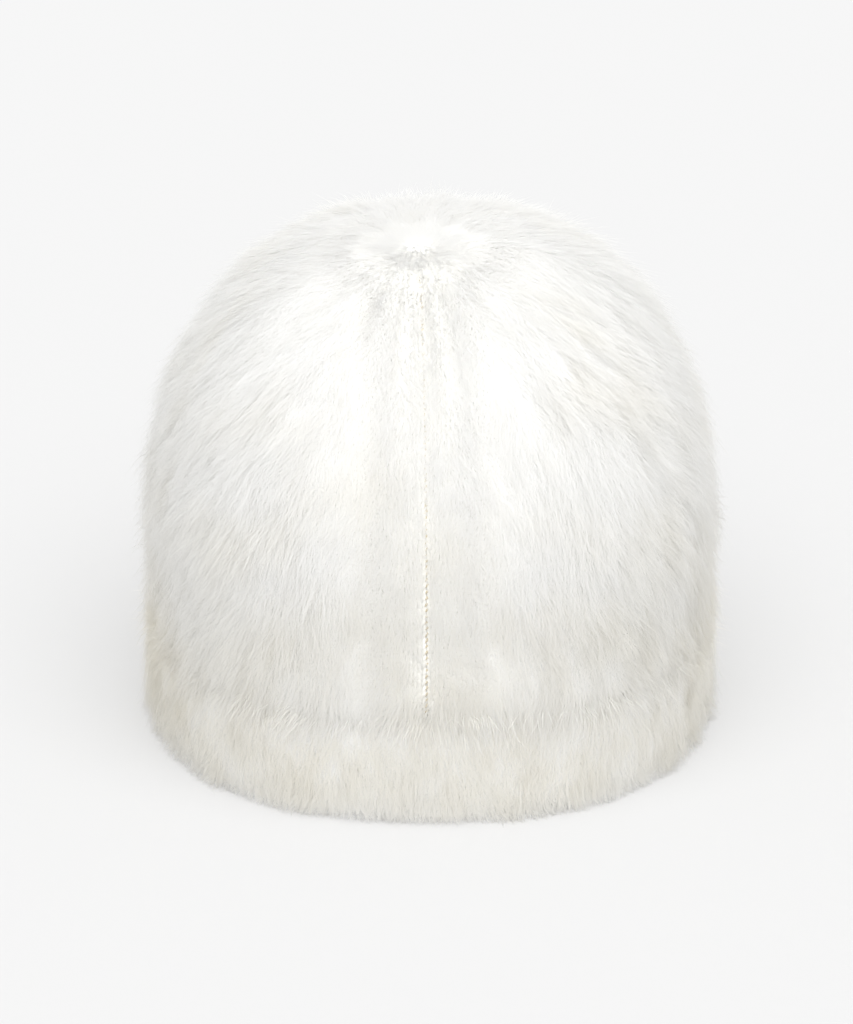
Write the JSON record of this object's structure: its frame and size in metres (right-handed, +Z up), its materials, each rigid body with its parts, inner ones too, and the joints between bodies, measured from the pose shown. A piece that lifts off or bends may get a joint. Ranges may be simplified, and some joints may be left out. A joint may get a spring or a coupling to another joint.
{
  "type": "long-pile knitted beanie with turned-up cuff",
  "caption": "Fluffy brushed knit beanie: a gathered dome crown with a centre-back seam, deep pile and a turned-up cuff, hollow for a head.",
  "frame": {"origin": "on the surface that the hat stands on, under the middle of its outline", "axes": "+Z up through the crown, -Y out of the centre-back seam, +X to the right when seen from behind"},
  "size_m": [0.1912, 0.2228, 0.1641],
  "materials": {
    "ground_knit": "matt white jersey knit with a short fuzz",
    "crown_fur": "soft white brushed pile",
    "cuff_fur": "denser cream-white brushed pile",
    "seam_yarn": "matt sewn yarn"
  },
  "bodies": {
    "root": {"crown": "ground_knit", "crown_pile": "crown_fur", "cuff": "ground_knit", "cuff_pile": "cuff_fur", "back_seam": "seam_yarn", "crown_gather": "ground_knit"}
  },
  "joints": []
}
